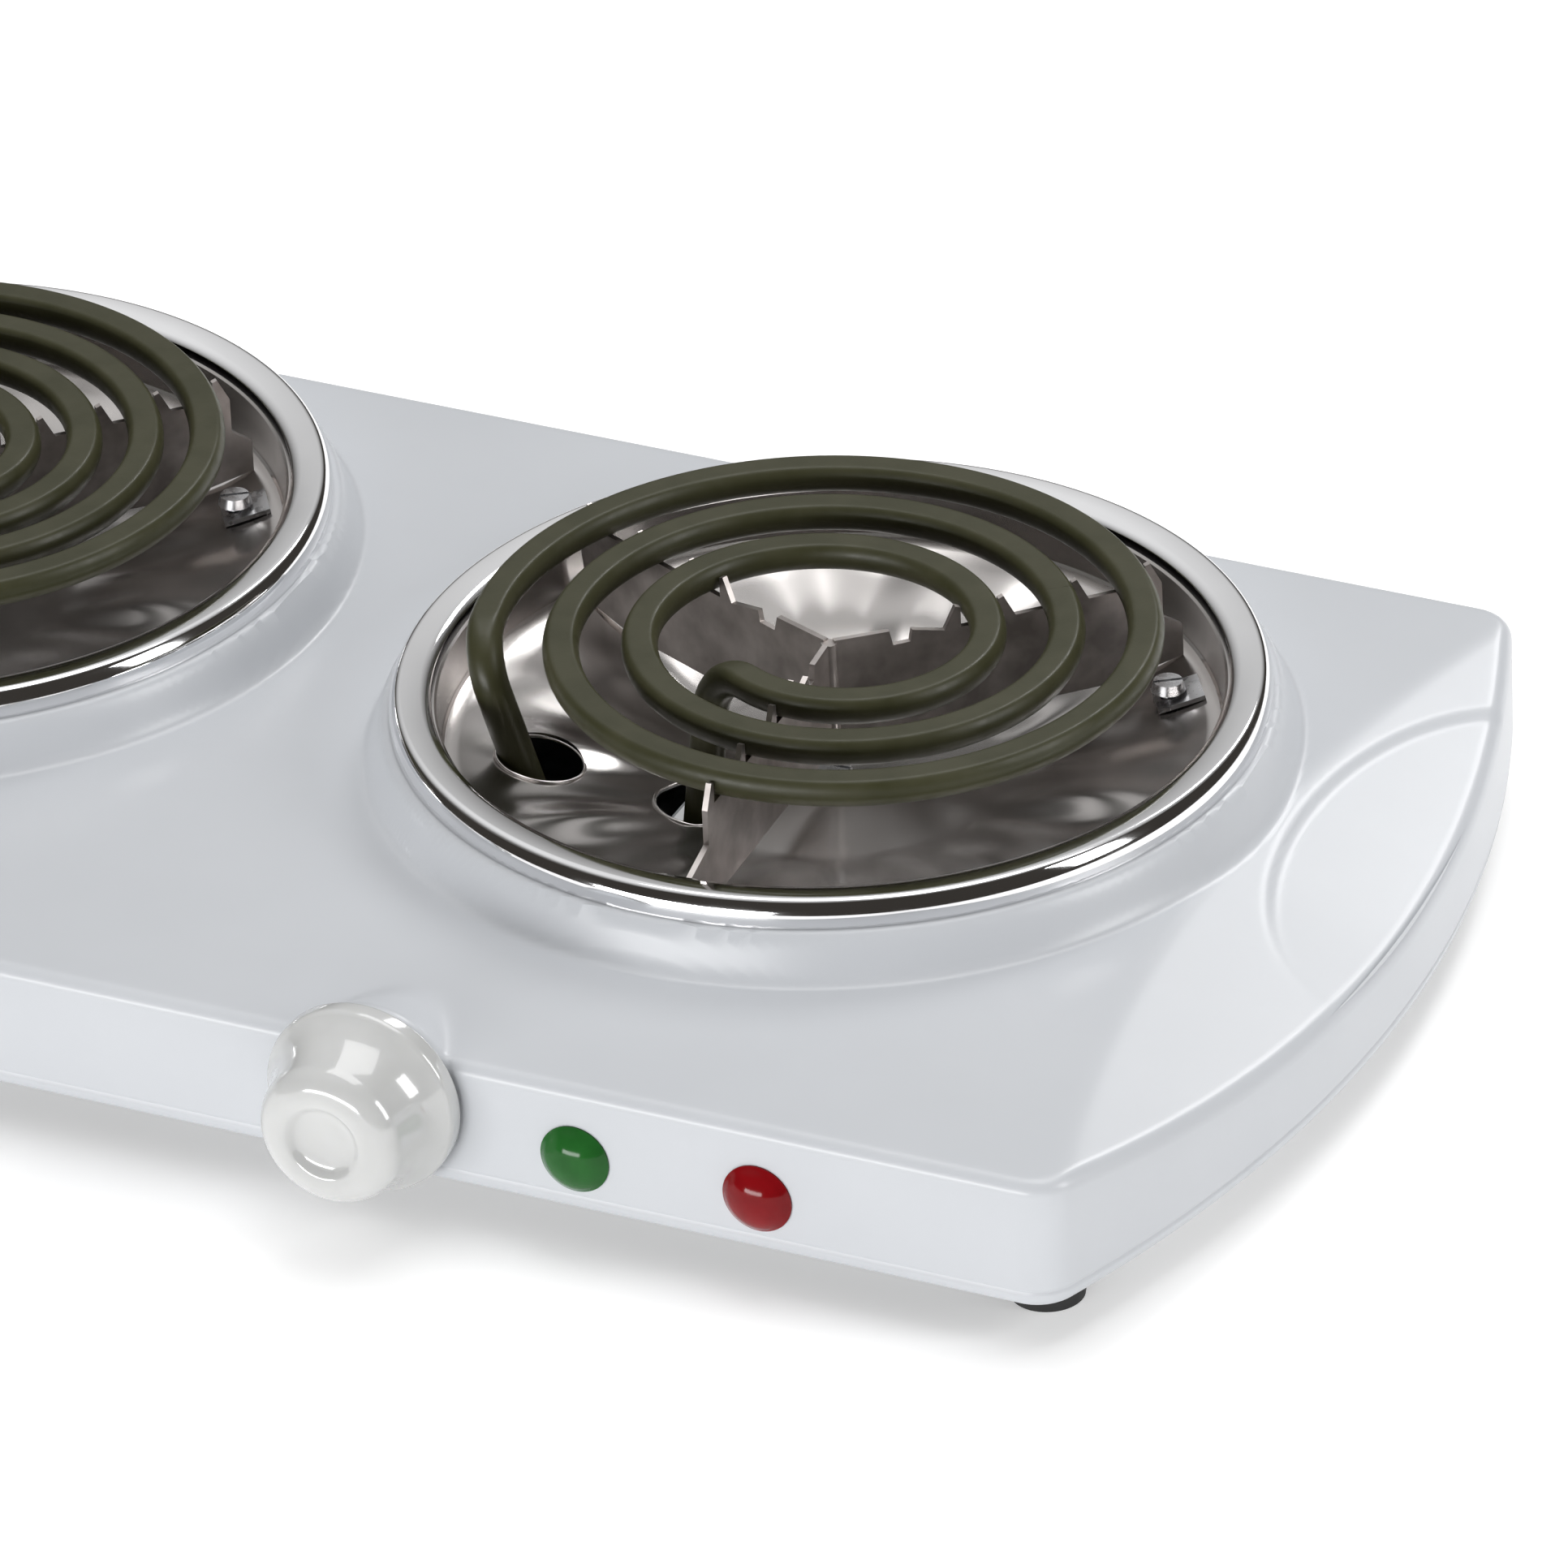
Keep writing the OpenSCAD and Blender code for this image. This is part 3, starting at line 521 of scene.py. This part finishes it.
def bowl(side):
    """The drip bowl: a lathed skin with its holes cut, and a rolled lip round each hole."""
    place = (*BURNERS[side], RING_Z)
    skin = [(0.01, FLOOR_Z), (20, FLOOR_Z), (FLOOR_R - 2, FLOOR_Z), (FLOOR_R, FLOOR_Z + 0.12)]
    skin += [(r, bowl_height(r)) for r in np.linspace(FLOOR_R + 2, LEDGE_R - 1.2, 14)]
    skin += [(LEDGE_R - 0.3, LEDGE_Z + 0.05), (BOWL_R - 0.5, LEDGE_Z + 0.12), (BOWL_R, LEDGE_Z + 0.6)]
    skin += [(BOWL_R + 0.6, 2.4), (BOWL_R + 1.1, 2.8)]
    skin += [(RING_R - 4.2, 2.8), (RING_R - 3.4, 2.2), (RING_R - 3.3, 0.1)]
    under = [(r, z - SKIN) for r, z in skin[::-1] if z < LEDGE_Z + 1]
    verts, faces = lathe(skin + [(RING_R - 3.9, 0.1), (BOWL_R + 1.2, 2.2)] + under, 360)
    verts = [(x, y, z + ripple(x, y)) for x, y, z in verts]
    made = piece(f"bowl_{side}", moved(verts, place), faces, "bowl", [f"drip_bowl_{side}"])
    for k, (x, y) in enumerate(HOLES):
        bpy.ops.mesh.primitive_cylinder_add(vertices=96, radius=HOLE_R * MM, depth=40 * MM,
            location=[c * MM for c in (place[0] + x, place[1] + y, place[2] + FLOOR_Z)])
        cutter = bpy.context.object
        cut = made.modifiers.new(f"hole_{k}", "BOOLEAN")
        cut.object = cutter
        cut.solver = "EXACT"
        bpy.context.view_layer.objects.active = made
        bpy.ops.object.modifier_apply(modifier=cut.name)
        bpy.data.objects.remove(cutter)
    crisp(made, 30)
    lips = []
    for x, y in HOLES:
        edge = [(x + HOLE_R * cos(a), y + HOLE_R * sin(a)) for a in np.linspace(0, 2 * pi, 73)[:-1]]
        ring = [Vector((px, py, bowl_height(hypot(px, py)) - 0.05)) for px, py in edge]
        section = arc(0, 0, LIP_R, 0, 330, 11)
        verts = []
        for p in ring:
            out = Vector((p.x - x, p.y - y, 0)).normalized()
            verts += [p + out * s + Vector((0, 0, t)) for s, t in section]
        lips.append((verts, grid_faces(len(ring), len(section), True, True, flip=True)))
    verts, faces = joined(*lips)
    piece(f"bowl_lips_{side}", moved(verts, place), faces, "bowl")


for side in BURNERS:
    trim_ring(side)
    bowl(side)

# ------------------------------------------------------------------ heating elements
# angles are in degrees; the axis is the line through the two centres that the turns share
COIL_AXIS = 26
COIL_R = 67.4
TUBE_R = 3.75
TUBE_FLAT = 2.9
TUBE_Z = 17 - TUBE_FLAT
BEND_R = 11
LEG_IN = 1
LEG_END = -22.4
OUTER_LEAN = 16
INNER_LEAN = 8
OUTER_START = 196
INNER_STOP = 145
SPIRAL_MID = -3
# for each side, the number of the innermost stretch and the turns' pitch
SPIRALS = {"left": (7, 6.4), "right": (5, 8.0)}


def turn_centre(k, step):
    """Where a stretch of the spiral is centred along the element's axis; odd ones lie a pitch further."""
    return SPIRAL_MID if k % 2 == 0 else SPIRAL_MID + step


def spiral(last, step):
    """Points on the spiral's centreline, from its outer end inwards; each stretch is an arc."""
    axis = Vector((cos(radians(COIL_AXIS)), sin(radians(COIL_AXIS)), 0))
    stretches = [(0, OUTER_START - COIL_AXIS, 0)]
    stretches += [(k, 360 if k % 2 else 180, 180 if k % 2 else 0) for k in range(1, last)]
    stretches += [(last, 360, 360 - INNER_STOP)]
    made = []
    for k, a0, a1 in stretches:
        n = ceil(abs(a1 - a0) / 2.5)
        r = COIL_R - k * step
        for i in range(1 if made else 0, n + 1):
            a = radians(COIL_AXIS + a0 + (a1 - a0) * i / n)
            made.append(axis * turn_centre(k, step) + Vector((r * cos(a), r * sin(a), TUBE_Z)))
    return made


def tube_section(flat):
    """The tube's section, pressed flat at a height above its middle."""
    points = [(TUBE_R * cos(a), TUBE_R * sin(a)) for a in np.linspace(0, 2 * pi, 49)[:-1]]
    return [(u, float(soft_min(v, flat, 0.3))) for u, v in points]


def leg(start, heading, lean):
    """A bend down from a tube's end and the straight leg below it, with each point's section."""
    across = Vector((0, 0, 1)).cross(heading)
    down = (Vector((0, 0, -1)) * cos(radians(lean)) + across * sin(radians(lean))).normalized()
    turns = np.linspace(0, pi / 2, 17)
    made = [start + heading * (BEND_R * sin(t) - LEG_IN) + down * BEND_R * (1 - cos(t)) for t in turns]
    sections = [tube_section(TUBE_FLAT + (TUBE_R + 0.3 - TUBE_FLAT) * min(t / 0.9, 1)) for t in turns]
    drop = (LEG_END - made[-1].z) / down.z
    made += [made[-1] + down * drop * t for t in np.linspace(0, 1, 10)[1:]]
    return made, sections + [sections[-1]] * 9


def element(side):
    """The whole tube in one sweep: outer leg, spiral, inner leg."""
    last, step = SPIRALS[side]
    path = spiral(last, step)
    outer = leg(path[0], (path[0] - path[1]).normalized(), OUTER_LEAN)
    inner = leg(path[-1], (path[-1] - path[-2]).normalized(), INNER_LEAN)
    middle = [p for p in path if min((p - outer[0][0]).length, (p - inner[0][0]).length) > 2 * LEG_IN]
    flat = [tube_section(TUBE_FLAT)] * len(middle)
    half = len(middle) // 2
    # swept both ways from the middle, where the section's upright is known
    parts = [sweep(middle[half:] + inner[0], flat[half:] + inner[1]),
             sweep(middle[:half + 1][::-1] + outer[0], flat[:half + 1][::-1] + outer[1])]
    verts, faces = joined(*parts)
    verts = moved(verts, (*BURNERS[side], RING_Z))
    made = piece(f"element_{side}", verts, faces, "element", [f"coil_{side}"])
    crisp(made, 60)


for side in BURNERS:
    element(side)


# ------------------------------------------------------------------ knobs
def knob(side):
    """A moulded knob: wide skirt, drum and dished face, with rounded edges, its axis along -Y."""
    skirt_r, face_r = KNOB_SKIRT_R, KNOB_FACE_R
    outer = [(skirt_r - 2.6, 1.0), (skirt_r - 1.9, 1.0)] + arc(skirt_r - 0.8, 1.8, 0.8, -90, 0, 4)
    outer += arc(skirt_r - 2.2, 4.0, 2.2, 0, 52, 8)
    outer += [(face_r + 2.4, 8.6), (face_r + 1.2, 12), (face_r + 0.5, 15)]
    outer += arc(face_r - 5.4, KNOB_OUT - 5.6, 5.6, 6, 88, 16)
    outer += [(8.6, KNOB_OUT - 0.05), (7.8, KNOB_OUT - 0.4), (7.1, KNOB_OUT - 1.1), (6.2, KNOB_OUT - 1.6),
              (4.5, KNOB_OUT - 1.95), (2.5, KNOB_OUT - 2.1), (0.01, KNOB_OUT - 2.1)]
    inner = [(0.01, KNOB_OUT - 5), (face_r - 5, KNOB_OUT - 5), (face_r - 2, 12), (skirt_r - 3.6, 6)]
    verts, faces = lathe(outer + inner, 192)
    turn = Matrix.Rotation(pi / 2, 3, "X")
    made = piece(f"knob_cap_{side}", moved(verts, (KNOB_X[side], FRONT_Y, KNOB_Z), turn), faces, "knob",
                 [f"knob_{side}"], f"knob_{side}_body")
    crisp(made, 60)


for side in BURNERS:
    knob(side)


# ------------------------------------------------------------------ lamps
def lamp(tint):
    """A domed lens: a low cylinder rim with a rounded dome over it."""
    dome = [(0.01, 4.0)] + [(9 * sin(t), 9 * cos(t) - 5) for t in np.linspace(0.05, 0.86, 16)]
    rim = [(LENS_R, 0.4), (LENS_R, 0.05), (LENS_R - 1.9, 0.05), (LENS_R - 1.9, -3)]
    verts, faces = lathe(dome + rim + [(3.6, -3), (3.6, 1.0), (0.01, 1.0)], 96)
    verts = moved(verts, (LAMP_X[tint], FRONT_Y, LAMP_Z), Matrix.Rotation(pi / 2, 3, "X"))
    slot = f"lamp_lens_{tint}"
    made = piece(f"lens_{tint}", verts, [f[::-1] for f in faces], slot, [slot])
    crisp(made, 35)


for tint in LAMP_X:
    lamp(tint)

# ------------------------------------------------------------------ the nodes that stay as packed
SHARP_ANGLE = radians(30)
for name, node in frame["nodes"].items():
    if node.hide_render:
        continue
    slot = SLOT_OF[name]
    node.data.materials.clear()
    node.data.materials.append(MATERIALS[slot])
    node.data.polygons.foreach_set("use_smooth", [True] * len(node.data.polygons))
    node.data.set_sharp_from_angle(angle=SHARP_ANGLE)

# ------------------------------------------------------------------ floor, light and camera
# the camera was solved from the rings' ellipses and the body's level and upright edges; lengths in metres
AZ, EL, ROLL = radians(25.989), radians(31.0), radians(-2.542)
LENS = 332.7
DISTANCE = 2.94435
TARGET = Vector((0.1065, 0.0305, 0.0475))
SHIFT = (0.009590, 0.017577)
SKY_TOWARDS = (-0.3, 0.3, 0.9)
SKY_STRENGTH = 0.85
FLOOR_GLOW = 0.3


def floor():
    """A plain white floor, which glows a little to soften the shadows."""
    bpy.ops.mesh.primitive_plane_add(size=8, location=(0, 0, 0))
    made = bpy.context.object
    made.name = "floor"
    white, tree, bsdf = shader("floor_white", (0.9, 0.9, 0.9), 0.9)
    vary(tree, noise(tree, 3), bsdf.inputs["Base Color"], (0.89, 0.89, 0.89), (0.91, 0.91, 0.91))
    bsdf.inputs["Emission Color"].default_value = (1, 1, 1, 1)
    bsdf.inputs["Emission Strength"].default_value = FLOOR_GLOW
    made.data.materials.append(white)


def area_light(name, place, aim, size, power):
    """A soft box light at a place, facing a point; metres and watts."""
    data = bpy.data.lights.new(name, "AREA")
    data.shape = "RECTANGLE"
    data.size, data.size_y = size
    data.energy = power
    made = bpy.data.objects.new(name, data)
    bpy.context.scene.collection.objects.link(made)
    made.location = place
    made.rotation_mode = "QUATERNION"
    made.rotation_quaternion = (Vector(aim) - Vector(place)).to_track_quat("-Z", "Y")


def world():
    """A studio that is bright above the object and a little behind it, and dark low down all round."""
    made = bpy.data.worlds.new("studio")
    made.use_nodes = True
    tree = made.node_tree
    where = tree.nodes.new("ShaderNodeTexCoord")
    tilt = tree.nodes.new("ShaderNodeVectorMath")
    tilt.operation = "DOT_PRODUCT"
    tilt.inputs[1].default_value = SKY_TOWARDS
    tree.links.new(where.outputs["Generated"], tilt.inputs[0])
    sky = tree.nodes["Background"]
    vary(tree, tilt.outputs["Value"], sky.inputs["Color"], (0.05, 0.045, 0.04), (1, 1, 1), (0.5, 0.93))
    sky.inputs["Strength"].default_value = SKY_STRENGTH
    bpy.context.scene.world = made


def camera():
    """The photograph's view: round and down by two angles, with a slight roll and a small sideways move."""
    back = Vector((sin(AZ) * cos(EL), -cos(AZ) * cos(EL), sin(EL)))
    right = Vector((cos(AZ), sin(AZ), 0))
    up = back.cross(right)
    rolled_right = cos(ROLL) * right + sin(ROLL) * up
    rolled_up = cos(ROLL) * up - sin(ROLL) * right
    data = bpy.data.cameras.new("camera")
    data.lens = LENS
    data.sensor_width = 36
    data.clip_start, data.clip_end = 0.05, 50
    made = bpy.data.objects.new("camera", data)
    bpy.context.scene.collection.objects.link(made)
    place = TARGET + back * DISTANCE - rolled_right * SHIFT[0] - rolled_up * SHIFT[1]
    made.matrix_world = Matrix((
        (rolled_right.x, rolled_up.x, back.x, place.x),
        (rolled_right.y, rolled_up.y, back.y, place.y),
        (rolled_right.z, rolled_up.z, back.z, place.z),
        (0, 0, 0, 1)))
    bpy.context.scene.camera = made


floor()
area_light("top", (0.1, 0.4, 1.8), (0, 0, 0), (1.4, 1.0), 12)
area_light("front", (-0.4, -2.2, 0.3), (0, 0, 0), (1.8, 0.35), 35)
area_light("right", (1.8, 0.1, 0.8), (0.1, 0, 0), (0.5, 0.9), 13)
area_light("behind", (0.25, 1.5, 1.3), (0.1, 0, 0), (0.35, 0.6), 9)
world()
camera()
bpy.context.scene.view_settings.view_transform = "Standard"
